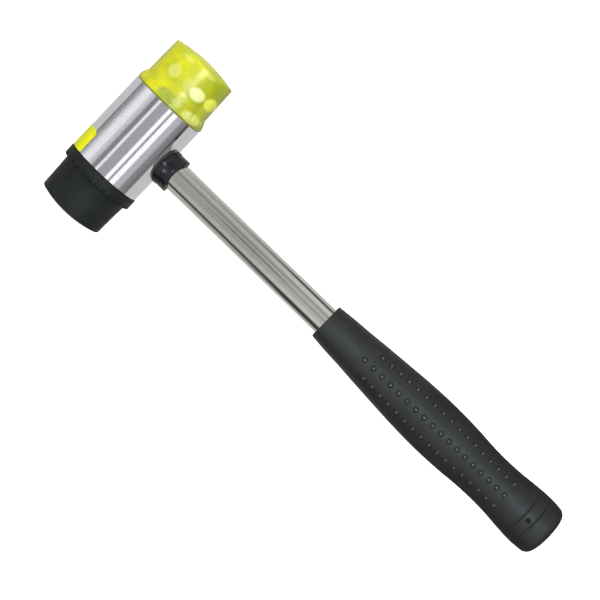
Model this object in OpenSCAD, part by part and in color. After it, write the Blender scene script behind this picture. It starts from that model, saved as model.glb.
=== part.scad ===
// Soft-face mallet, 35 mm head, lying on its side.
// +X runs along the handle towards the grip, +Y along the head towards the yellow face, +Z is up.

/* [Head] */
// Diameter of the metal head
head_d = 35.5; // [30:0.5:40]
// Length of the metal head between the two faces
head_l = 40.4; // [34:0.2:60]
// Chamfer around each end of the metal head
head_chamfer = 0.4; // [0.2:0.1:1]

/* [Screw-on faces] */
// Diameter of the flange that bears on the head
flange_d = 36; // [36:0.5:42]
// Length of the black face's flange up to its square shoulder
black_flange_l = 5.1; // [4:0.1:6]
// Diameter of the black face just past its shoulder
black_neck_d = 32.4; // [28:0.2:33]
// Diameter of the black face at its rim
black_rim_d = 31.4; // [26:0.2:32]
// Length of the black face from the head to its rim
black_l = 21.1; // [18:0.1:26]
// Height of the black face's striking dome
black_dome_h = 2.6; // [1:0.1:6]
// Length of the yellow face's flange before it tapers
yellow_flange_l = 1.4; // [1:0.1:3]
// Distance from the head to the end of the yellow face's taper
yellow_taper_l = 4.9; // [4:0.1:7]
// Diameter of the yellow face just past its taper
yellow_neck_d = 32.6; // [30:0.2:34]
// Diameter of the yellow face at its rim
yellow_rim_d = 31.8; // [28:0.2:33]
// Length of the yellow face from the head to its rim
yellow_l = 22.4; // [18:0.1:26]
// Height of the yellow face's striking dome
yellow_dome_h = 1.9; // [1:0.1:6]
// Number of finger notches around each shoulder
notch_count = 30; // [12:2:48]

/* [Studs] */
// Outside diameter of the stud's thread
stud_d = 10; // [8:1:10]
// Length of the stud that screws into the head
stud_engaged = 12; // [8:0.5:12]
// Length of the stud moulded into the face
stud_buried = 12; // [8:0.5:12]
// Diameter of the stud's buried head
stud_head_d = 13; // [11:0.5:13]
// Length of the stud's buried head
stud_head_l = 4; // [2:0.5:5]

/* [Handle] */
// Outside diameter of the handle tube
tube_d = 13; // [10:0.5:14]
// Wall of the handle tube
tube_wall = 1; // [0.8:0.1:1.5]
// Distance from the head's axis to the tube's buried end
tube_buried = 9; // [4:0.5:12]
// Distance from the head's axis to the top of the collar
collar_top = 24.4; // [22:0.1:30]
// Diameter of the collar
collar_d = 16.5; // [14.5:0.1:20]
// Diameter of the collar's lip where it sits on the head
collar_lip_d = 17; // [17:0.5:22]
// Thickness of the collar's lip
collar_lip = 2; // [1:0.1:3]

/* [Grip] */
// Distance from the head's axis to the mouth of the grip
grip_start = 112.5; // [90:0.5:140]
// Length of the grip
grip_l = 131.7; // [120:0.1:150]
// Thickness of the grip's closed end
grip_end_wall = 5; // [3:0.5:8]
// Width of the two shallow grooves around the grip's end
band_w = 0.7; // [0.4:0.1:1.5]
// Depth of the two shallow grooves
band_depth = 0.35; // [0.2:0.05:0.8]

/* [Label] */
// Width of the plain label along the head
label_l = 11.5; // [6:0.5:30]
// Half the angle that the label wraps around the head
label_half_angle = 50; // [20:1:60]
// Thickness of the label
label_t = 0.1; // [0.05:0.05:0.3]

/* [Hidden] */
$fn = 96;

head_r = head_d / 2;
head_half = head_l / 2;
tube_r = tube_d / 2;
tube_bore_r = tube_r - tube_wall;
grip_end = grip_start + grip_l;
tube_end = grip_end - grip_end_wall - 1.2;

// Clearance around a stud in its face and in the head's tapped hole
stud_gap = 0.05;
// A little extra on each cut, so that no skin is left
eps = 0.1;

// The object stands with the middle of its outline over the origin
yellow_end = head_half + yellow_l + yellow_dome_h;
black_end = head_half + black_l + black_dome_h;
origin_x = (grip_end - flange_d / 2) / 2;
origin_y = (yellow_end - black_end) / 2;
origin_z = -flange_d / 2;

// The grip's outline: distance from its mouth as a part of its length, and radius
grip_outline = [
    [0, 8.5], [0.065, 9.3], [0.125, 9.8], [0.186, 10.45], [0.247, 11.05], [0.308, 11.6], [0.368, 12.15],
    [0.429, 12.5], [0.49, 12.65], [0.55, 12.5], [0.611, 12.1], [0.672, 11.5], [0.733, 11.28], [0.793, 11.5],
    [0.854, 12.2], [0.907, 12.65], [0.938, 12.65],
];
// The grip's round edge: radius and distance from its closed end
grip_edge = [[12.4, 5.2], [12.25, 4.2], [11.9, 3.2], [11.2, 2.2]];
// Radius and height of the flat dome that closes the grip
grip_dome_r = 10.1;
grip_dome_h = 1.2;

module in_place() {
    translate([-origin_x, -origin_y, -origin_z]) children();
}

// Turns a shape made along +Z to point along the handle
module along_handle() {
    rotate([0, 90, 0]) children();
}

// Turns a shape made along +Z to point towards the yellow face, or with side = -1 the black one
module along_head(side = 1) {
    rotate([-90 * side, 0, 0]) children();
}

// Points of a smooth curve through the outline's points i to i + 1, without the last one
function curve(points, i, steps) = [
    let (a = points[max(i - 1, 0)], b = points[i], c = points[i + 1], d = points[min(i + 2, len(points) - 1)])
    for (s = [0 : steps - 1])
    let (t = s / steps)
    0.5 * (2 * b + (c - a) * t + (2 * a - 5 * b + 4 * c - d) * t * t + (3 * b - 3 * c + d - a) * t * t * t)
];

function smooth(points, steps) = [
    for (i = [0 : len(points) - 2]) each curve(points, i, steps),
    points[len(points) - 1],
];

// Points of a flat dome of height h over a rim of radius r, from the rim to the axis
function dome(r, base, h, steps = 10) =
    let (ball = (r * r + h * h) / (2 * h), half = asin(r / ball))
    [for (s = [0 : steps]) let (a = half * (1 - s / steps)) [ball * sin(a), base + h - ball + ball * cos(a)]];

module stud_shape(gap) {
    translate([0, 0, -stud_engaged])
        cylinder(r = stud_d / 2 + gap, h = stud_engaged + stud_buried - stud_head_l + eps);
    translate([0, 0, stud_buried - stud_head_l])
        cylinder(r = stud_head_d / 2 + gap, h = stud_head_l + gap);
}

module stud(side) {
    thread_chamfer = 1;
    in_place() along_head(side) translate([0, 0, head_half]) difference() {
        stud_shape(0);
        translate([0, 0, -stud_engaged - eps]) difference() {
            cylinder(r = stud_d, h = thread_chamfer + eps);
            cylinder(r1 = stud_d / 2 - thread_chamfer - eps, r2 = stud_d / 2, h = thread_chamfer + eps);
        }
    }
}

// A ring of shallow notches that fingers grip when the face is unscrewed
module notches(shoulder_r, start, length) {
    notch_w = 1.2;
    notch_depth = 1.1;
    for (i = [0 : notch_count - 1])
        rotate(i * 360 / notch_count)
            translate([shoulder_r - notch_depth, -notch_w / 2, start])
                cube([notch_depth + 3, notch_w, length]);
}

module head_body() {
    tube_hole_depth = head_r + tube_buried;
    color("silver") in_place() difference() {
        along_head() rotate_extrude() polygon([
            [0, -head_half], [head_r - head_chamfer, -head_half], [head_r, -head_half + head_chamfer],
            [head_r, head_half - head_chamfer], [head_r - head_chamfer, head_half], [0, head_half],
        ]);
        for (side = [-1, 1])
            along_head(side) translate([0, 0, head_half - stud_engaged - 0.5])
                cylinder(r = stud_d / 2 + stud_gap, h = stud_engaged + 0.5 + eps);
        translate([-tube_buried, 0, 0]) along_handle() cylinder(r = tube_r, h = tube_hole_depth + eps);
    }
}

module yellow_face() {
    flange_r = flange_d / 2 - 0.1;
    color("yellow", 0.7) in_place() along_head() translate([0, 0, head_half]) difference() {
        rotate_extrude() polygon(concat(
            [[0, 0], [flange_r, 0], [flange_r, yellow_flange_l],
             [yellow_neck_d / 2 + 0.4, yellow_taper_l - 0.4], [yellow_neck_d / 2, yellow_taper_l]],
            dome(yellow_rim_d / 2, yellow_l, yellow_dome_h)
        ));
        stud_shape(stud_gap);
        notches(yellow_neck_d / 2 + 1.1, yellow_taper_l - 2.7, 2.1);
    }
}

module black_face() {
    rim_round = 1;
    color([0.12, 0.12, 0.13]) in_place() along_head(-1) translate([0, 0, head_half]) difference() {
        rotate_extrude() polygon(concat(
            [[0, 0], [flange_d / 2, 0], [flange_d / 2, black_flange_l - 0.5],
             [flange_d / 2 - 0.5, black_flange_l], [black_neck_d / 2 + 0.5, black_flange_l],
             [black_neck_d / 2, black_flange_l + 0.5], [black_rim_d / 2, black_l - rim_round]],
            dome(black_rim_d / 2 - 0.35 * rim_round, black_l, black_dome_h)
        ));
        stud_shape(stud_gap);
        notches(black_neck_d / 2 + 0.9, black_flange_l - 1.6, 2);
    }
}

module yellow_face_stud() {
    color("gainsboro") stud(1);
}

module black_face_stud() {
    color("gainsboro") stud(-1);
}

module handle_collar() {
    groove = 0.3;
    wide = 2 * collar_lip_d;
    color([0.1, 0.1, 0.1]) in_place() difference() {
        intersection() {
            union() {
                along_handle() cylinder(d = collar_d - 2 * groove, h = collar_top);
                difference() {
                    along_handle() cylinder(d = collar_d, h = collar_top);
                    along_head() cylinder(r = head_r + collar_lip + groove, h = wide, center = true);
                }
                intersection() {
                    along_handle() cylinder(d = collar_lip_d, h = collar_top);
                    along_head() cylinder(r = head_r + collar_lip, h = wide, center = true);
                }
            }
            // the far end is hollowed like the head's surface
            translate([collar_top - head_r, 0, 0]) along_head() cylinder(r = head_r, h = wide, center = true);
        }
        along_head() cylinder(r = head_r, h = wide, center = true);
        along_handle() cylinder(r = tube_r, h = collar_top + eps);
    }
}

module handle_tube() {
    color("lightgray") in_place() translate([-tube_buried, 0, 0]) along_handle() difference() {
        cylinder(r = tube_r, h = tube_end + tube_buried);
        translate([0, 0, -eps]) cylinder(r = tube_bore_r, h = tube_end + tube_buried + 2 * eps);
    }
}

module tube_wedge_plug() {
    plug_l = 8;
    color("dimgray") in_place() translate([-tube_buried, 0, 0]) along_handle()
        cylinder(r = tube_bore_r, h = plug_l);
}

module tube_end_plug() {
    plug_l = 8;
    cap_l = grip_end - grip_end_wall - tube_end;
    color([0.2, 0.2, 0.2]) in_place() translate([tube_end, 0, 0]) along_handle() {
        translate([0, 0, -plug_l]) cylinder(r = tube_bore_r, h = plug_l);
        cylinder(r = tube_r, h = cap_l);
    }
}

module grip() {
    outline = [for (p = smooth(grip_outline, 4)) [p[1], p[0] * grip_l]];
    edge = [for (p = grip_edge) [p[0], grip_l - p[1]]];
    band_places = [grip_l - 15.3, grip_l - 10];
    band_r = 12.55;
    color([0.13, 0.13, 0.14]) in_place() translate([grip_start, 0, 0]) along_handle() difference() {
        rotate_extrude() polygon(concat(
            [[0, 0]], outline, edge, dome(grip_dome_r, grip_l - grip_dome_h, grip_dome_h, 4)
        ));
        translate([0, 0, -eps]) cylinder(r = tube_r, h = grip_l - grip_end_wall + eps);
        for (place = band_places) translate([0, 0, place - band_w / 2]) difference() {
            cylinder(r = band_r + 2, h = band_w);
            translate([0, 0, -eps]) cylinder(r = band_r - band_depth, h = band_w + 2 * eps);
        }
    }
}

module head_label() {
    color("gold") in_place() translate([0, -head_half + head_chamfer + label_l, 0])
        rotate([90, 0, 0]) rotate(180 - label_half_angle)
            rotate_extrude(angle = 2 * label_half_angle) translate([head_r, 0]) square([label_t, label_l]);
}

head_body();
yellow_face();
yellow_face_stud();
black_face();
black_face_stud();
handle_collar();
handle_tube();
tube_wedge_plug();
tube_end_plug();
grip();
head_label();
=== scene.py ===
"""The looks of a soft-face mallet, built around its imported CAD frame.

Lengths are in mm in the pieces, and in metres in names that end in _m, shader nodes, lamps and the camera.
"""

import math

import bmesh
import bpy
import numpy as np
from mathutils import Matrix, Vector


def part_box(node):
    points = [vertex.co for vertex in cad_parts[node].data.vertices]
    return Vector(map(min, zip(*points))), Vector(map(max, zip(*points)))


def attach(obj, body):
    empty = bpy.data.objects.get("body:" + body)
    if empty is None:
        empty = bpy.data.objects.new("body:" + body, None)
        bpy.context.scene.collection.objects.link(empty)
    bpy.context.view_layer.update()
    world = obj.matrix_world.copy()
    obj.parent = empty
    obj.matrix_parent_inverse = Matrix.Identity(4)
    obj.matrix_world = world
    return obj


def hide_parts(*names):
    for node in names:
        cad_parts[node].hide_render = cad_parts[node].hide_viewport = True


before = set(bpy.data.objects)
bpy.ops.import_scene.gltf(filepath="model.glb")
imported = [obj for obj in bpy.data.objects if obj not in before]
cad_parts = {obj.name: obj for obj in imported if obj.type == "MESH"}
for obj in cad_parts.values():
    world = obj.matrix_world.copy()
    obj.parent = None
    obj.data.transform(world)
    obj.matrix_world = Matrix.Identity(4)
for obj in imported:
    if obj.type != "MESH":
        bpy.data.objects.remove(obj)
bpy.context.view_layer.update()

MM = 0.001
RIGHT, YELLOW_WAY, UP = Vector((1, 0, 0)), Vector((0, 1, 0)), Vector((0, 0, 1))

head_low, head_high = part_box("head_body")
grip_low, grip_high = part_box("grip")
crossing_m = (head_low + head_high) / 2  # where the head's axis crosses the handle's
head_r = (head_high.x - head_low.x) / 2 / MM
head_half = (head_high.y - head_low.y) / 2 / MM
flange_r = (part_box("black_face")[1].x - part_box("black_face")[0].x) / 2 / MM
tube_r = (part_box("handle_tube")[1].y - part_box("handle_tube")[0].y) / 2 / MM
grip_start = (grip_low.x - crossing_m.x) / MM
grip_l = (grip_high.x - grip_low.x) / MM
yellow_joint_m = crossing_m + YELLOW_WAY * head_half * MM
black_joint_m = crossing_m - YELLOW_WAY * head_half * MM


# ---- Meshes


def smooth_mesh(name, bm, sharp_deg=32):
    """An object from a bmesh, smooth except at edges sharper than sharp_deg."""
    bmesh.ops.recalc_face_normals(bm, faces=bm.faces)
    mesh = bpy.data.meshes.new(name)
    bm.to_mesh(mesh)
    bm.free()
    mesh.shade_smooth()
    mesh.set_sharp_from_angle(angle=math.radians(sharp_deg))
    piece = bpy.data.objects.new(name, mesh)
    bpy.context.scene.collection.objects.link(piece)
    return piece


def skin(name, rings, loop=False, sharp_deg=32):
    """A closed mesh through rings of points in mm. A ring of one point closes an end; loop joins the ends."""
    bm = bmesh.new()
    made = [[bm.verts.new(Vector(p) * MM) for p in ring] for ring in rings]
    pairs = list(zip(made, made[1:]))
    if loop:
        pairs.append((made[-1], made[0]))
    for a, b in pairs:
        for i in range(max(len(a), len(b))):
            j = (i + 1) % max(len(a), len(b))
            corners = [a[i % len(a)], a[j % len(a)], b[j % len(b)], b[i % len(b)]]
            bm.faces.new(list(dict.fromkeys(corners)))
    if not loop:
        for ring in (made[0], made[-1]):
            if len(ring) > 2:
                bm.faces.new(ring)
    return smooth_mesh(name, bm, sharp_deg)


def turned(count):
    """count angles evenly around a circle."""
    return np.arange(count) * 2 * math.pi / count


def lathe(name, outline, along, start_m, angles, shape=None, sharp_deg=32):
    """A closed mesh turned from outline, points of (distance along the axis, radius). Angle 0 is upwards.

    shape, if there is one, gives the radii at the angles for a distance and a radius of the outline.
    """
    side = along.cross(UP)
    rings = []
    for a, r in outline:
        centre = np.array(start_m / MM + along * a)
        if r == 0:
            rings.append([centre])
            continue
        radii = shape(a, r, angles) if shape else np.full(len(angles), r)
        upwards = np.outer(radii * np.cos(angles), np.array(UP))
        sideways = np.outer(radii * np.sin(angles), np.array(side))
        rings.append(centre + upwards + sideways)
    return skin(name, rings, sharp_deg=sharp_deg)


def arc(centre, r, first_deg, last_deg, steps):
    """Points (along, radius) on an arc; 90 degrees points away from the axis and 0 along it."""
    turns = [math.radians(first_deg + (last_deg - first_deg) * i / steps) for i in range(steps + 1)]
    return [(centre[0] + r * math.cos(t), max(centre[1] + r * math.sin(t), 0)) for t in turns]


def domed_end(wall_r, apex, dome_h, edge_r):
    """Points of a rounded edge and a flat dome, from the wall of radius wall_r to the axis at apex."""
    edge_steps, dome_steps = 6, 22
    ball = (wall_r * wall_r + dome_h * dome_h) / (2 * dome_h)
    edge_along = apex - ball + math.sqrt((ball - edge_r) ** 2 - (wall_r - edge_r) ** 2)
    meet_deg = math.degrees(math.atan2(wall_r - edge_r, edge_along - apex + ball))
    edge = arc((edge_along, wall_r - edge_r), edge_r, 90, meet_deg, edge_steps)
    return edge[:-1] + arc((apex - ball, 0), ball, meet_deg, 0, dome_steps)[:-1] + [(apex, 0)]


def notched(count, half_deg):
    """Angles around a circle that follow the edges of count notches."""
    pitch, edge = 360 / count, 0.3
    within = [-half_deg - edge, -half_deg + edge, 0, half_deg - edge, half_deg + edge]
    between = [half_deg + edge + (pitch - 2 * (half_deg + edge)) * k / 3 for k in (1, 2)]
    return np.radians([i * pitch + a for i in range(count) for a in within + between])


def cut_notches(count, half_deg, first, last, floor_r, depth):
    """A shape for lathe() that cuts count notches, depth deep but not below floor_r, from first to last."""

    def shape(a, r, angles):
        off = np.abs((np.degrees(angles) + 180 / count) % (360 / count) - 180 / count)
        inside = (off < half_deg) & (first <= a <= last)
        return np.where(inside, np.minimum(r, max(floor_r, r - depth)), r)

    return shape


def spline(points, places):
    """A smooth curve through points (place, value), read at places."""
    xs, ys = np.array(points).T
    slopes = np.gradient(ys, xs)
    i = np.clip(np.searchsorted(xs, places) - 1, 0, len(xs) - 2)
    w = xs[i + 1] - xs[i]
    t = (places - xs[i]) / w
    from_values = ys[i] * (1 + 2 * t) * (1 - t) ** 2 + ys[i + 1] * t * t * (3 - 2 * t)
    from_slopes = w * t * (1 - t) * (slopes[i] * (1 - t) - slopes[i + 1] * t)
    return from_values + from_slopes


# ---- Node helpers


class Graph:
    """Adds nodes to a shader tree and returns their outputs. A value is a number or an output."""

    def __init__(self, tree):
        self.nodes, self.links = tree.nodes, tree.links

    def feed(self, value, socket):
        """Sets a socket to a number or colour, or links an output to it."""
        if isinstance(value, bpy.types.NodeSocket):
            self.links.new(value, socket)
        else:
            socket.default_value = value

    def math(self, operation, *values):
        """The result of a Math node's operation on values."""
        node = self.nodes.new("ShaderNodeMath")
        node.operation = operation
        for value, socket in zip(values, node.inputs):
            self.feed(value, socket)
        return node.outputs["Value"]

    def coordinates(self, kind="Object"):
        """X, Y and Z of a kind of texture coordinate."""
        place = self.nodes.new("ShaderNodeTexCoord")
        parts = self.nodes.new("ShaderNodeSeparateXYZ")
        self.links.new(place.outputs[kind], parts.inputs["Vector"])
        return [parts.outputs[axis] for axis in "XYZ"]

    def noise(self, scale, detail=4, stretch=(1, 1, 1)):
        """Noise in object space, about 0.3 to 0.7, with scale in waves a metre. stretch scales each axis."""
        place = self.nodes.new("ShaderNodeTexCoord")
        mapping = self.nodes.new("ShaderNodeMapping")
        mapping.inputs["Scale"].default_value = stretch
        texture = self.nodes.new("ShaderNodeTexNoise")
        texture.inputs["Scale"].default_value = scale
        texture.inputs["Detail"].default_value = detail
        texture.inputs["Roughness"].default_value = 0.55
        self.links.new(place.outputs["Object"], mapping.inputs["Vector"])
        self.links.new(mapping.outputs["Vector"], texture.inputs["Vector"])
        return texture.outputs["Fac"]

    def ramped(self, value, start, end, first, last, smooth=False):
        """first up to start and last from end on, and in between it goes from one to the other."""
        ramp = self.nodes.new("ShaderNodeMapRange")
        ramp.interpolation_type = "SMOOTHSTEP" if smooth else "LINEAR"
        for socket, number in zip(("From Min", "From Max", "To Min", "To Max"), (start, end, first, last)):
            ramp.inputs[socket].default_value = number
        self.links.new(value, ramp.inputs["Value"])
        return ramp.outputs["Result"]

    def window(self, value, low, high, soft):
        """1 while value is between low and high, falling to 0 over soft."""
        middle, half = (low + high) / 2, (high - low) / 2
        off = self.math("ABSOLUTE", self.math("SUBTRACT", value, middle))
        return self.ramped(off, half, half + soft, 1, 0)

    def uneven(self, noise, low, high):
        """noise spread over low to high."""
        return self.ramped(noise, 0.3, 0.7, low, high)

    def colours(self, noise, first, second):
        """noise as a colour from first to second."""
        ramp = self.nodes.new("ShaderNodeValToRGB")
        for element, position, colour in zip(ramp.color_ramp.elements, (0.3, 0.7), (first, second)):
            element.position = position
            element.color = (*colour, 1)
        self.links.new(noise, ramp.inputs["Fac"])
        return ramp.outputs["Color"]

    def mixed(self, factor, under, over):
        """under, turning into over as factor goes from 0 to 1; over is a colour or an output."""
        mix = self.nodes.new("ShaderNodeMix")
        mix.data_type = "RGBA"
        self.links.new(factor, mix.inputs["Factor"])
        self.links.new(under, mix.inputs["A"])
        self.feed((*over, 1) if isinstance(over, tuple) else over, mix.inputs["B"])
        return mix.outputs["Result"]

    def attribute(self, name):
        """A number that the mesh holds at each of its points."""
        there = self.nodes.new("ShaderNodeAttribute")
        there.attribute_name = name
        return there.outputs["Fac"]

    def bump(self, shader, source, height_m):
        """Bumps the shader by source, height_m high where source is 1."""
        bump = self.nodes.new("ShaderNodeBump")
        bump.inputs["Distance"].default_value = height_m
        self.links.new(source, bump.inputs["Height"])
        self.links.new(bump.outputs["Normal"], shader.inputs["Normal"])

    def emission(self, strength, colour=(1, 1, 1)):
        """A glow of a colour and a strength."""
        glow = self.nodes.new("ShaderNodeEmission")
        glow.inputs["Color"].default_value = (*colour, 1)
        self.feed(strength, glow.inputs["Strength"])
        return glow.outputs["Emission"]

    def shown(self, to_eye, to_rest, output):
        """Shows to_eye to the eye, directly or through the clear face, and to_rest to everything else."""
        path = self.nodes.new("ShaderNodeLightPath")
        straight = self.math("MAXIMUM", path.outputs["Is Camera Ray"], path.outputs["Is Transmission Ray"])
        pick = self.nodes.new("ShaderNodeMixShader")
        for source, socket in zip((straight, to_rest, to_eye), pick.inputs):
            self.links.new(source, socket)
        self.links.new(pick.outputs["Shader"], output.inputs["Surface"])


# ---- Materials


def material(name, **sockets):
    """A Principled material with constant sockets. Returns it with its graph and shader."""
    mat = bpy.data.materials.new(name)
    mat.use_nodes = True
    shader = mat.node_tree.nodes["Principled BSDF"]
    for socket, value in sockets.items():
        shader.inputs[socket.replace("_", " ")].default_value = value
    return mat, Graph(mat.node_tree), shader


def mottled(name, dark, light, colour_scale, low, high, rough_scale, **sockets):
    """A material with its colour from dark to light and its roughness from low to high, each by a noise."""
    mat, graph, shader = material(name, **sockets)
    graph.feed(graph.colours(graph.noise(colour_scale), dark, light), shader.inputs["Base Color"])
    graph.feed(graph.uneven(graph.noise(rough_scale), low, high), shader.inputs["Roughness"])
    return mat, graph, shader


def head_metal():
    """Bright turned metal with a fine grain."""
    mat, graph, shader = material("head_metal", Metallic=1.0)
    grain = graph.noise(1400, stretch=(1, 0.5, 1))
    graph.feed(graph.colours(grain, (0.76, 0.76, 0.80), (0.87, 0.87, 0.92)), shader.inputs["Base Color"])
    graph.feed(graph.uneven(graph.noise(260), 0.04, 0.08), shader.inputs["Roughness"])
    graph.bump(shader, grain, 0.000004)
    return mat


def tube_chrome():
    """Bright chrome plate with faint streaks along the tube."""
    mat, graph, shader = material("tube_chrome", Metallic=1.0)
    clouds = graph.noise(300)
    graph.feed(graph.colours(clouds, (0.71, 0.71, 0.66), (0.77, 0.77, 0.72)), shader.inputs["Base Color"])
    streaks = graph.noise(120, stretch=(0.2, 1, 1))
    graph.feed(graph.uneven(streaks, 0.02, 0.045), shader.inputs["Roughness"])
    return mat


# Painted light on the yellow plastic's upper side, drawn as seen from above: painted highlights where light
# catches its bubbles and glints off it, and painted shade near the joint. Each gives its distance from the
# head's axis towards the handle, distance from the joint, half widths both ways, strength and colour.
HIGHLIGHT_PALE, HIGHLIGHT_LIME, SHADE_GREEN, HIGHLIGHT_WHITE = (0.88, 0.9, 0.42), (1.0, 1.0, 0.1), (0.25, 0.32, 0.055), (0.95, 1.0, 0.6)
PAINTED_LIGHT_SPOTS = [
    (-5.5, 12.5, 3.0, 3.0, 0.22, HIGHLIGHT_PALE),
    (3.1, 12.4, 3.1, 2.7, 0.12, HIGHLIGHT_PALE),
    (8.1, 11.6, 3.3, 2.7, 0.9, HIGHLIGHT_PALE),
    (14.2, 12.0, 2.2, 2.7, 1.0, HIGHLIGHT_LIME),
    (-0.6, 3.0, 5.2, 2.4, 0.7, SHADE_GREEN),
    (4.6, 3.4, 2.4, 1.8, 0.2, HIGHLIGHT_WHITE),
    (1.9, 1.2, 2.0, 1.2, 0.5, SHADE_GREEN),
    (4.6, 6.6, 2.4, 1.8, 0.2, HIGHLIGHT_PALE),
    (6.9, 20.8, 2.6, 0.8, 0.15, HIGHLIGHT_WHITE),
    (-4.6, 20.4, 3.0, 1.0, 0.12, HIGHLIGHT_WHITE),
    (12.5, 2.4, 4.0, 2.2, 0.4, HIGHLIGHT_PALE),
    (14.6, 8.0, 2.2, 7.0, 0.25, HIGHLIGHT_LIME),
]


def with_painted_light(graph, colour):
    """colour, with the painted highlights and painted shade of the spot table mixed in on the upper side."""
    place_x, place_y, place_z = graph.coordinates()
    upper = graph.math("GREATER_THAN", place_z, crossing_m.z)
    # Each spot mixes painted light into the colour, highlights and shade alike, only on the upper side.
    for x, y, half_x, half_y, strength, painted_colour in PAINTED_LIGHT_SPOTS:
        off_x = graph.math("SUBTRACT", place_x, yellow_joint_m.x + x * MM)
        off_y = graph.math("SUBTRACT", place_y, yellow_joint_m.y + y * MM)
        across = graph.math("POWER", graph.math("DIVIDE", off_x, half_x * MM), 2)
        along = graph.math("POWER", graph.math("DIVIDE", off_y, half_y * MM), 2)
        inside = graph.ramped(graph.math("ADD", across, along), 1.45, 0.5, 0, strength, smooth=True)
        colour = graph.mixed(graph.math("MULTIPLY", inside, upper), colour, painted_colour)
    return colour


def yellow_plastic():
    """Cloudy lemon-yellow plastic, rougher at its striking end, that passes some light, with painted
    highlights and painted shade on its upper side.
    """
    mat, graph, shader = material("yellow_plastic", IOR=1.4, Transmission_Weight=0.5)
    x, y, _ = graph.coordinates()
    greener = graph.math("MULTIPLY", graph.math("SUBTRACT", x, crossing_m.x), 6)
    clouds = graph.math("ADD", graph.noise(130, detail=5), greener)
    haze = graph.colours(clouds, (0.55, 0.52, 0.006), (0.31, 0.37, 0.022))
    graph.feed(with_painted_light(graph, haze), shader.inputs["Base Color"])
    end_starts, end_all = (yellow_joint_m.y + place * MM for place in (22.5, 23.3))
    graph.feed(graph.ramped(y, end_starts, end_all, 0.24, 0.4), shader.inputs["Roughness"])
    graph.bump(shader, graph.noise(110, detail=2), 0.00004)
    depth = graph.nodes.new("ShaderNodeVolumeAbsorption")
    depth.inputs["Color"].default_value = (0.95, 0.97, 0.1, 1)
    depth.inputs["Density"].default_value = 90
    graph.links.new(depth.outputs["Volume"], graph.nodes["Material Output"].inputs["Volume"])
    return mat


def black_rubber():
    """Dark matte moulded rubber of the soft face."""
    mat, graph, shader = mottled(
        "black_rubber", (0.0025, 0.0035, 0.002), (0.005, 0.0075, 0.005), 160, 0.5, 0.66, 240,
        Specular_IOR_Level=0.3,
    )  # fmt: skip
    graph.bump(shader, graph.noise(1500), 0.00002)
    return mat


def grip_rubber():
    """Satin black rubber of the grip, with a fine skin, rubbed tips on its dots that are lightened by rubbing
    and as a painted highlight, and painted shade around the dots' feet and in the dimple.
    """
    mat, graph, shader = material("grip_rubber")
    bare_skin = graph.colours(graph.noise(90), (0.005, 0.0065, 0.005), (0.009, 0.0105, 0.009))
    # painted shade: darker around the dots' feet and in the dimple
    shaded_skin = graph.mixed(graph.attribute("painted_shade"), bare_skin, (0.0008, 0.0008, 0.0008))
    worn_and_highlit = graph.attribute("worn_and_highlit")
    # the dots' tips are lighter grey from rubbing, and also as a painted highlight
    graph.feed(graph.mixed(worn_and_highlit, shaded_skin, (0.042, 0.042, 0.042)), shader.inputs["Base Color"])
    satin = graph.uneven(graph.noise(200), 0.48, 0.58)
    rubbed = graph.math("SUBTRACT", satin, graph.math("MULTIPLY", worn_and_highlit, 0.25))
    graph.feed(rubbed, shader.inputs["Roughness"])
    graph.bump(shader, graph.noise(1800), 0.000015)
    return mat


def collar_plastic():
    """Semi-gloss black plastic."""
    return mottled("collar_plastic", (0.0015, 0.0018, 0.002), (0.003, 0.0035, 0.005), 200, 0.16, 0.2, 300)[0]


def label_film():
    """Plain yellow film."""
    return mottled(
        "label_film", (0.41, 0.43, 0.0), (0.49, 0.49, 0.002), 220, 0.35, 0.45, 300, Specular_IOR_Level=0.2
    )[0]


def steel(name, dark, light, low, high):
    """Plain steel with a soft mottle."""
    return mottled(name, dark, light, 400, low, high, 250, Metallic=1.0)[0]


def plug_plastic():
    """Matte black plastic."""
    return mottled("plug_plastic", (0.02, 0.02, 0.02), (0.04, 0.04, 0.04), 300, 0.5, 0.7, 300)[0]


def finish_piece(piece, body, slot, mat, *replaced):
    """Gives a new piece its material, rides it on its body and hides the nodes it stands for. slot is not
    used.
    """
    piece.data.materials.clear()
    piece.data.materials.append(mat)
    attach(piece, body)
    if replaced:
        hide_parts(*replaced)


def dress(node, mat):
    """A better material on a CAD node that stays."""
    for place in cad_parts[node].material_slots:
        place.material = mat


# ---- Pieces


stud_r, stud_head_r, stud_head_l = 5.0, 6.5, 4.0
stud_engaged, stud_buried = 12.0, 12.0  # how deep it goes into the head, and into its face


def stud(name, along, body, node, mat):
    """A threaded stud with a knurled head buried in its face."""
    pitch, depth, plain_tip, rows = 1.5, 0.85, 1.0, 90
    knurls, knurl_depth, rim = 24, 0.3, 0.4

    def shape(a, r, angles):
        if a < 0:
            phase = (a / pitch - angles / (2 * math.pi)) % 1
            groove = depth * np.clip(1.25 * (2 * np.abs(phase - 0.5)) - 0.1, 0, 1)
            return np.minimum(r, stud_r - groove * min(-a / pitch, 1))
        if r == stud_head_r:
            return r - knurl_depth * (0.5 + 0.5 * np.cos(knurls * angles))
        return np.full(len(angles), r)

    threaded = stud_engaged - plain_tip
    outline = [(-stud_engaged, 0), (-stud_engaged, stud_r - 1)]
    outline += [(-threaded + threaded * i / rows, stud_r) for i in range(rows + 1)]
    outline += [(stud_buried - stud_head_l, stud_r), (stud_buried - stud_head_l, stud_head_r)]
    outline += [(stud_buried, stud_head_r), (stud_buried, stud_head_r - rim), (stud_buried, 0)]
    piece = lathe(name, outline, along, crossing_m + along * head_half * MM, turned(96), shape)
    finish_piece(piece, body, "stud_steel", mat, node)


# The yellow face's bubbles: turn from straight up towards the handle, distance from the joint, half length
# along the head and half width; and the radius of the ring around the stud that they lie on.
BUBBLES = [(-28, 12.9, 2.6, 2.4), (28, 11.9, 2.5, 3.3), (69, 12.3, 2.6, 2.5)]
BUBBLE_RING = 10.6


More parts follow.
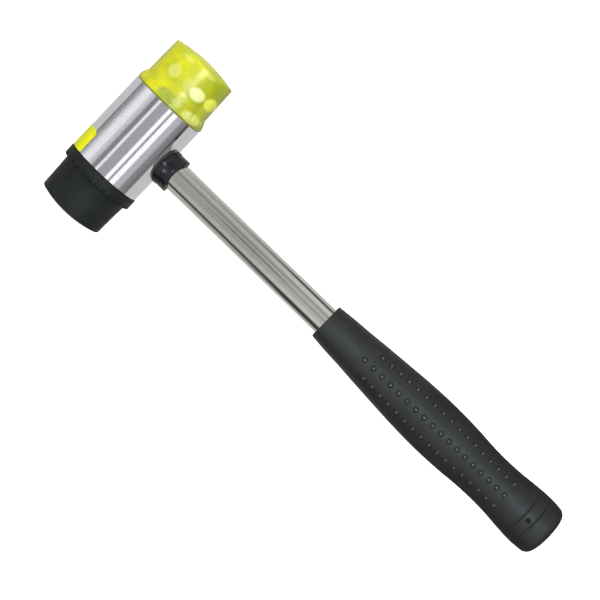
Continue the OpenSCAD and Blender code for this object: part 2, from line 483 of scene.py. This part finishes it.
def add_bubbles(piece):
    """Adds the air bubbles that the thick plastic has closed around, as shells that face inwards."""
    toward_handle = YELLOW_WAY.cross(UP)
    bm = bmesh.new()
    bm.from_mesh(piece.data)
    for turn_deg, place, half_along, half_across in BUBBLES:
        turn = math.radians(turn_deg)
        outward = UP * math.cos(turn) + toward_handle * math.sin(turn)
        centre = yellow_joint_m + (YELLOW_WAY * place + outward * BUBBLE_RING) * MM
        axes = Matrix((outward, YELLOW_WAY.cross(outward), YELLOW_WAY)).transposed().to_4x4()
        sizes = Matrix.Diagonal((half_across * MM, half_across * MM, half_along * MM, 1))
        placed = Matrix.Translation(centre) @ axes @ sizes
        made = bmesh.ops.create_icosphere(bm, subdivisions=4, radius=1, matrix=placed)
        shell = {face for vert in made["verts"] for face in vert.link_faces}
        bmesh.ops.reverse_faces(bm, faces=list(shell))
        for face in shell:
            face.smooth = True
    bm.to_mesh(piece.data)
    bm.free()


def yellow_face(mat):
    """The hard clear face: a flange, a notched tapered shoulder, a domed end, and bubbles around the stud."""
    length = 24.3
    gap, hold = 0.08, 0.02  # clear of the head's end, and just inside the stud, to be in contact with it
    neck, head_r_held, stud_r_held = stud_buried - stud_head_l + hold, stud_head_r - 0.3 - hold, stud_r - hold
    outline = [(stud_buried - hold, 0), (stud_buried - hold, head_r_held), (neck, head_r_held)]
    outline += [(neck, stud_r_held), (gap, stud_r_held), (gap, 8), (gap, 14)]
    outline += [(gap, 17.5), (gap + 0.3, 17.85), (1.4, 17.85), (1.8, 17.72), (2.3, 17.52), (2.6, 17.4)]
    outline += [(4.2, 16.82), (4.5, 16.6), (4.7, 16.42), (4.95, 16.3), (9, 16.2), (15, 16.05)]
    outline += domed_end(15.9, length, 1.9, 0.8)
    count, half_deg = 30, 2.2
    notches = cut_notches(count, half_deg, first=2.5, last=4.55, floor_r=16.4, depth=0.4)
    angles = notched(count, half_deg)
    piece = lathe("yellow_hard_face", outline, YELLOW_WAY, yellow_joint_m, angles, notches)
    add_bubbles(piece)
    finish_piece(piece, "yellow_tip", "yellow_plastic", mat, "yellow_face")


def black_face(mat):
    """The rubber face: a flange with a notched square shoulder, and a rounded domed end."""
    length = 23.7
    gap, clear = 0.02, 0.05  # clear of the head's end, and of the stud
    neck, head_r_clear, stud_r_clear = stud_buried - stud_head_l, stud_head_r + clear, stud_r + clear
    outline = [(stud_buried + clear, 0), (stud_buried + clear, head_r_clear), (neck, head_r_clear)]
    outline += [(neck, stud_r_clear), (gap, stud_r_clear), (gap, 17.6), (0.15, 17.9), (0.5, 18)]
    outline += [(3.4, 18), (3.6, 18), (4.5, 18), (4.85, 17.9), (5.05, 17.6), (5.15, 16.9), (5.3, 16.5)]
    outline += [(5.7, 16.25), (10, 16.0), (15, 15.85)]
    outline += domed_end(15.7, length, 2.6, 1.0)
    count, half_deg = 30, 2.3
    notches = cut_notches(count, half_deg, first=3.5, last=5.2, floor_r=16.4, depth=0.55)
    angles = notched(count, half_deg)
    piece = lathe("black_rubber_face", outline, -YELLOW_WAY, black_joint_m, angles, notches)
    finish_piece(piece, "black_tip", "black_rubber", mat, "black_face")


def collar(mat):
    """The plastic saddle: a lip, a groove and a rounded far edge, which all follow the head's curve."""
    inner_r, body_r, corner = tube_r + 0.02, 8.25, 0.4
    collar_top = 24.4  # from the head's axis
    thick = collar_top - head_r
    # (distance from the head's surface, radius)
    outline = [(0.03, inner_r), (0.03, 8.3), (0.25, 8.5), (1.45, 8.5), (1.65, 8.42), (1.75, 8.22)]
    outline += [(1.9, 8.14), (2.9, 8.21), (3.6, 8.24), (4.4, body_r)]
    outline += arc((thick - corner, body_r - corner), corner, 90, 0, 3)
    outline += [(thick, 6.7), (thick - 0.3, inner_r)]
    angles = turned(120)
    rings = []
    for off, r in outline:
        across, up = r * np.sin(angles), r * np.cos(angles)
        ring = np.stack([np.sqrt(head_r**2 - up**2) + off, across, up], axis=1)
        rings.append(ring + np.array(crossing_m / MM))
    piece = skin("saddle_collar", rings, loop=True)
    finish_piece(piece, "mallet", "collar_plastic", mat, "handle_collar")


# The grip: its radius against the distance from its open end, and its dots, grooves and dimple. A row of dots
# has its turn from straight up in degrees, its first dot and where it stops; the other side has the same.
GRIP_RADII = [
    (0, 8.5), (8.5, 9.3), (16.5, 9.8), (24.5, 10.45), (32.5, 11.05), (40.5, 11.6), (48.5, 12.15),
    (56.5, 12.5), (64.5, 12.65), (72.5, 12.5), (80.5, 12.1), (88.5, 11.5), (96.5, 11.28), (104.5, 11.5),
    (112.5, 12.2), (119.5, 12.65), (123.5, 12.65), (126.6, 12.4),
]  # fmt: skip
grip_wall_end, grip_widest, grip_skin_r = 126.5, 121.5, 8.0
dot_r, dot_h = 1.15, 0.62
dot_places = [23.2 + 5.04 * k - 0.01425 * k * k for k in range(18)]
dot_roll_deg, upper_rows = -3.5, ((0, 0, 18), (33, 1, 18), (-33, 1, 18))
dot_rows = [(turn + half + dot_roll_deg, start, end) for half in (0, 180) for turn, start, end in upper_rows]
groove_places, groove_depth, groove_w = (116.4, 121.7), 0.4, 0.3
dimple_place, dimple_r, dimple_depth = 119.2, 1.15, 0.8


def over_skin(turn, around, r):
    """The distance around the grip from the angle turn to the angle around."""
    return ((around - turn + math.pi) % (2 * math.pi) - math.pi) * r


def from_dots(a, around, r):
    """The distance over the skin to the middle of the nearest dot."""
    nearest = np.full(np.shape(a + around), 99.0)
    for turn_deg, start, end in dot_rows:
        across = over_skin(math.radians(turn_deg), around, r)
        for place in dot_places[start:end]:
            nearest = np.minimum(nearest, np.hypot(across, a - place))
    return nearest


def from_dimple(a, around, r):
    """The distance over the skin to the middle of the dimple."""
    return np.hypot(over_skin(0, around, r), a - dimple_place)


def grip_shape(a, r, around):
    """Radii of the grip with its dots, its dimple and its grooves, which fade out on its two sides."""
    radii = np.full(len(around), float(r))
    if r < grip_skin_r:
        return radii
    faded = np.clip(2.5 * np.abs(np.cos(around)) - 0.6, 0, 1)
    for place in groove_places:
        radii -= groove_depth * faded * math.exp(-(((a - place) / groove_w) ** 2))
    radii -= dimple_depth * np.clip(1.4 * (1 - from_dimple(a, around, r) / dimple_r), 0, 1)
    ball = (dot_r**2 + dot_h**2) / (2 * dot_h)
    cap = np.sqrt(np.maximum(ball**2 - from_dots(a, around, r) ** 2, 0)) - ball + dot_h
    return radii + np.maximum(cap, 0)


def grip_grid():
    """Distances along the grip and angles around it, close together at the dots, grooves and dimple."""
    reach, plain_step = 1.3, 1.6
    band_deg, plain_step_deg = 7, 4
    steps = np.linspace(-reach, reach, 19)
    places = np.arange(0.8, grip_wall_end, plain_step)
    places = [p for p in places if min(abs(p - d) for d in dot_places) > plain_step]
    places += [d + s for d in dot_places for s in steps]
    places = [p for p in places if min(abs(p - g) for g in groove_places) > 1.4]
    places += [g + s for g in groove_places for s in np.linspace(-1.2, 1.2, 13)]
    places = [p for p in places if abs(p - dimple_place) > reach] + [dimple_place + s for s in steps]
    turns = [turn for turn, _, _ in dot_rows]
    bands = [(turn + band_deg * s / reach) % 360 for turn in turns for s in steps]
    plain = np.arange(0, 360, plain_step_deg)
    plain = [a for a in plain if min(abs((a - t + 180) % 360 - 180) for t in turns) > band_deg + 1]
    return np.array(sorted(p for p in places if p < grip_wall_end)), np.radians(sorted(bands + plain))


def mark_rubbing_and_painted_light(piece, start_m):
    """Marks where the grip is rubbed and lightened as a painted highlight, on its dots' tips, and where
    painted shade goes, around their feet and in the dimple.
    """
    co = np.empty(3 * len(piece.data.vertices))
    piece.data.vertices.foreach_get("co", co)
    a, y, z = (co.reshape(-1, 3) - np.array(start_m)).T / MM
    around, r = np.arctan2(-y, z), np.hypot(y, z)
    outside = r > grip_skin_r
    off = np.where(outside, from_dots(a, around, r), 99)
    foot = 1.3 - np.abs(off - 1.1) / 0.28
    hollow = np.where(outside, 1.5 - from_dimple(a, around, r) / dimple_r, 0)
    # painted shade at the dots' feet and in the dimple; rubbing and a painted highlight on the dots' tips
    for name, amount in (("worn_and_highlit", 1.5 - off / 0.5), ("painted_shade", np.maximum(foot, hollow))):
        values = np.clip(amount, 0, 1)
        piece.data.attributes.new(name, "FLOAT", "POINT").data.foreach_set("value", values)


def grip(mat):
    """The rubber grip: a swelling outline, rows of raised dots above and below, and two end grooves."""
    end_wall, bore_r = 5, tube_r + 0.02
    places, angles = grip_grid()
    outline = [(grip_l - end_wall, 0), (grip_l - end_wall, bore_r), (0.1, bore_r), (0, tube_r + 0.2)]
    outline += [(0, 8.1), (0.12, 8.35), (0.4, 8.5)]
    outline += [(p, float(r)) for p, r in zip(places, spline(GRIP_RADII, places))]
    outline += domed_end(12.35, grip_l, 1.8, 3.8)
    start_m = crossing_m + RIGHT * grip_start * MM
    piece = lathe("grip_sleeve", outline, RIGHT, start_m, angles, grip_shape, sharp_deg=40)
    mark_rubbing_and_painted_light(piece, start_m)
    finish_piece(piece, "mallet", "grip_rubber", mat, "grip")


def label(mat):
    """A plain yellow label with round corners, wrapped over the side of the head away from the handle."""
    near_black, length, half_wrap, thick = -head_half + 0.4, 11.4, math.radians(50) * head_r, 0.08
    inner_r = head_r + 0.01
    outer_r = head_r + 0.02 + thick
    corners = (0.8, 2.8)  # radius of the corners near the black face, and of the other two
    centre = np.array(crossing_m / MM)
    rings = []
    for s in np.sin(np.linspace(-math.pi / 2, math.pi / 2, 49)) * half_wrap:
        past = [max(abs(s) - (half_wrap - corner), 0) for corner in corners]
        cut = [c - math.sqrt(max(c**2 - p**2, 0.01)) for c, p in zip(corners, past)]
        ys = np.linspace(near_black + cut[0], near_black + length - cut[1], 9)
        outward = np.array((-math.cos(s / head_r), 0, math.sin(s / head_r)))
        outer = [centre + outward * outer_r + (0, y, 0) for y in ys]
        inner = [centre + outward * inner_r + (0, y, 0) for y in ys[::-1]]
        rings.append(outer + inner)
    piece = skin("plain_label", rings)
    finish_piece(piece, "mallet", "label_film", mat, "head_label")


# ---- Stage, light and camera


def floor_slope(widest_m):
    """The floor's slope, for it to touch the flanges and pass through widest_m, the grip's lowest point."""
    reach = widest_m - Vector((crossing_m.x, 0, crossing_m.z))
    return math.asin(flange_r * MM / reach.length) + math.atan2(reach.z, reach.x)


def mirrored_floor(graph):
    """The floor's brightness in reflections: light near the mallet and under its head, darker further off."""
    place_x, y, _ = graph.coordinates()
    x = graph.math("SUBTRACT", place_x, crossing_m.x)
    along = graph.window(x, -0.21, 0.14, 0.04)
    beside = graph.window(y, -0.04, 0.035, 0.04)
    under_head = graph.window(x, -0.06, 0.005, 0.02)
    near = graph.math("MAXIMUM", beside, under_head)
    further = graph.ramped(x, 0.05, 0.09, 0.5, -0.3)
    rest = graph.math("MULTIPLY", further, graph.math("SUBTRACT", 1, near))
    lit = graph.math("MULTIPLY", along, graph.math("ADD", near, rest))
    return graph.math("ADD", 0.2, graph.math("MULTIPLY", lit, 0.42))


def floor():
    """A pale floor that the flanges and the grip lie on; it is white to the eye and greyer in reflections."""
    half_side_m, gap_m = 0.9, 0.0002
    widest_m = Vector((grip_low.x + grip_widest * MM, 0, grip_low.z))
    tilt = Matrix.Rotation(-floor_slope(widest_m), 4, "Y")
    bm = bmesh.new()
    for x, y in ((-1, -1), (1, -1), (1, 1), (-1, 1)):
        bm.verts.new(widest_m + tilt @ Vector((x * half_side_m, y * half_side_m, -gap_m)))
    bm.faces.new(bm.verts)
    plane = smooth_mesh("floor", bm)
    mat, graph, paper = material("floor", Base_Color=(0.5, 0.5, 0.5, 1), Roughness=1.0, Specular_IOR_Level=0)
    lit = graph.nodes.new("ShaderNodeAddShader")
    graph.links.new(paper.outputs["BSDF"], lit.inputs[0])
    graph.links.new(graph.emission(0.86), lit.inputs[1])
    mirrored = graph.emission(mirrored_floor(graph), (1, 1, 0.97))
    graph.shown(lit.outputs["Shader"], mirrored, graph.nodes["Material Output"])
    plane.data.materials.append(mat)


# Brightness of the studio against the angle from straight up: towards +X for what the head mirrors, and
# towards +Y for what the tube mirrors.
HEAD_STUDIO = [
    (-180, 0.61), (-98, 0.61), (-95, 0.33), (-84, 0.36), (-76, 0.62), (-64, 0.93), (-49, 0.93), (-45, 0.72),
    (-33, 0.55), (-29.5, 0.27), (-19.5, 0.27), (-16, 0.97), (-11.5, 0.97), (-8.5, 0.41), (17, 0.41),
    (19.5, 1.2), (27, 1.2), (30, 0.38), (34, 0.38), (37, 1.2), (48, 1.2), (52, 0.54), (67, 0.53),
    (73, 0.29), (90, 0.21), (96, 0.61), (180, 0.61),
]  # fmt: skip
TUBE_STUDIO = [
    (-180, 0.60), (-130, 0.60), (-95, 0.36), (-87, 0.12), (-73, 0.04), (-65, 0.46), (-45, 0.56), (-28, 0.42),
    (8, 0.41), (21, 0.47), (33, 0.30), (41, 0.30), (54, 0.47), (72, 0.59), (84, 0.40), (108, 0.30),
    (122, 0.60), (180, 0.60),
]  # fmt: skip
BRIGHTEST = 2  # the ramps hold the brightness divided by this


def soft_boxes(graph, across, up, stops):
    """A brightness that follows stops, as the direction's angle from straight up towards across."""
    ramp = graph.nodes.new("ShaderNodeValToRGB")
    elements = ramp.color_ramp.elements
    while len(elements) < len(stops):
        elements.new(0.5)
    for element, (angle, level) in zip(elements, stops):
        element.position = (angle + 180) / 360
        element.color = (*[level / BRIGHTEST] * 3, 1)
    turn = graph.math("ARCTAN2", across, up)
    graph.links.new(graph.ramped(turn, -math.pi, math.pi, 0, 1), ramp.inputs["Fac"])
    return ramp.outputs["Color"]


def shading(graph, x, y):
    """A factor for the studio: a dark bar overhead, dark low down towards -Y, and brighter on the +X side."""
    dark_bar = graph.math("MULTIPLY", graph.window(y, 0.11, 0.18, 0.04), graph.window(x, -0.065, -0.03, 0.02))
    far_side = graph.ramped(y, -0.985, -0.965, 1, 0)
    dark_side = graph.math("MULTIPLY", far_side, graph.ramped(x, -0.05, -0.02, 0, 1))
    dark = graph.math("MULTIPLY", graph.math("MAXIMUM", dark_bar, dark_side), 0.8)
    sideways = graph.ramped(graph.math("ABSOLUTE", y), 0.12, 0.2, 0, 0.3)
    brighter = graph.math("MULTIPLY", sideways, graph.ramped(x, -0.05, 0, 0, 1))
    return graph.math("ADD", graph.math("SUBTRACT", 1, dark), brighter)


def studio():
    """A white backdrop for the eye, and a studio of long soft boxes for everything that mirrors it."""
    world = bpy.data.worlds.new("studio")
    bpy.context.scene.world = world
    world.use_nodes = True
    graph = Graph(world.node_tree)
    x, y, z = graph.coordinates("Generated")
    xx, yy = graph.math("MULTIPLY", x, x), graph.math("MULTIPLY", y, y)
    share = graph.math("DIVIDE", yy, graph.math("ADD", graph.math("ADD", xx, yy), 0.0001))
    head, tube = soft_boxes(graph, x, z, HEAD_STUDIO), soft_boxes(graph, y, z, TUBE_STUDIO)
    boxes = graph.nodes.new("ShaderNodeBackground")
    graph.links.new(graph.mixed(graph.ramped(share, 0.5, 0.8, 0, 1), head, tube), boxes.inputs["Color"])
    graph.links.new(graph.math("MULTIPLY", shading(graph, x, y), BRIGHTEST), boxes.inputs["Strength"])
    backdrop = graph.nodes["Background"]
    backdrop.inputs["Color"].default_value = (1, 1, 1, 1)
    output = graph.nodes["World Output"]
    graph.shown(backdrop.outputs["Background"], boxes.outputs["Background"], output)


def lamp(name, place_m, target_m, size_m, watts, colour=(1, 1, 1), glossy=False):
    """A rectangular soft box; only glossy ones show in reflections."""
    data = bpy.data.lights.new(name, "AREA")
    data.shape = "RECTANGLE"
    data.size, data.size_y = size_m
    data.energy, data.color = watts, colour
    box = bpy.data.objects.new(name, data)
    box.location = place_m
    box.rotation_euler = (target_m - place_m).to_track_quat("-Z", "Y").to_euler()
    box.visible_glossy = glossy
    box.visible_transmission = False
    bpy.context.scene.collection.objects.link(box)


def lamps():
    """A soft key light, a light on the yellow face's end, and boxes for the sheen of the black pieces."""
    bluish = (0.76, 0.84, 1)
    lamp("key", Vector((-0.16, 0.16, 0.83)), Vector((0, 0, 0)), (0.53, 0.53), 9.4)
    over_grip_m = crossing_m + Vector((0.28, 0.105, 0.7))
    lamp("over_grip", over_grip_m, over_grip_m - UP, (0.29, 0.1), 1.6, bluish, glossy=True)
    over_black_m = crossing_m + Vector((-0.15, -0.3, 0.66))
    lamp("over_black", over_black_m, crossing_m, (0.07, 0.3), 0.45, (0.8, 0.88, 1), glossy=True)
    beyond_yellow_m = crossing_m + Vector((-0.03, 0.18, 0.07))
    yellow_end_m = yellow_joint_m + YELLOW_WAY * 24 * MM
    lamp("beyond_yellow", beyond_yellow_m, yellow_end_m, (0.08, 0.05), 0.4)


def camera():
    """Looks down on the mallet almost square on, with the handle running down to the right."""
    distance_m, lens_mm, handle_down_deg = 0.73, 102.54, 44.1
    towards_eye = Vector((0.0068, 0.0867, 0.9962)).normalized()
    aim_m = crossing_m + Vector((98.38, -1.12, 0)) * MM
    handle_seen = (RIGHT - towards_eye * RIGHT.dot(towards_eye)).normalized()
    across = Matrix.Rotation(math.radians(handle_down_deg), 3, towards_eye) @ handle_seen
    axes = Matrix((across, towards_eye.cross(across), towards_eye)).transposed().to_4x4()
    data = bpy.data.cameras.new("camera")
    data.lens = lens_mm
    eye = bpy.data.objects.new("camera", data)
    eye.matrix_world = Matrix.Translation(aim_m + towards_eye * distance_m) @ axes
    bpy.context.scene.collection.objects.link(eye)
    bpy.context.scene.camera = eye


bpy.context.scene.view_settings.view_transform = "Standard"
floor()
studio()
lamps()
camera()

stud_steel = steel("stud_steel", (0.45, 0.46, 0.42), (0.6, 0.6, 0.56), 0.25, 0.4)
stud("yellow_thread_stud", YELLOW_WAY, "yellow_screw", "yellow_face_stud", stud_steel)
stud("black_thread_stud", -YELLOW_WAY, "black_screw", "black_face_stud", stud_steel)
yellow_face(yellow_plastic())
black_face(black_rubber())
collar(collar_plastic())
grip(grip_rubber())
label(label_film())
dress("head_body", head_metal())
dress("handle_tube", tube_chrome())
dress("tube_wedge_plug", steel("plug_steel", (0.25, 0.25, 0.25), (0.4, 0.4, 0.4), 0.35, 0.5))
dress("tube_end_plug", plug_plastic())
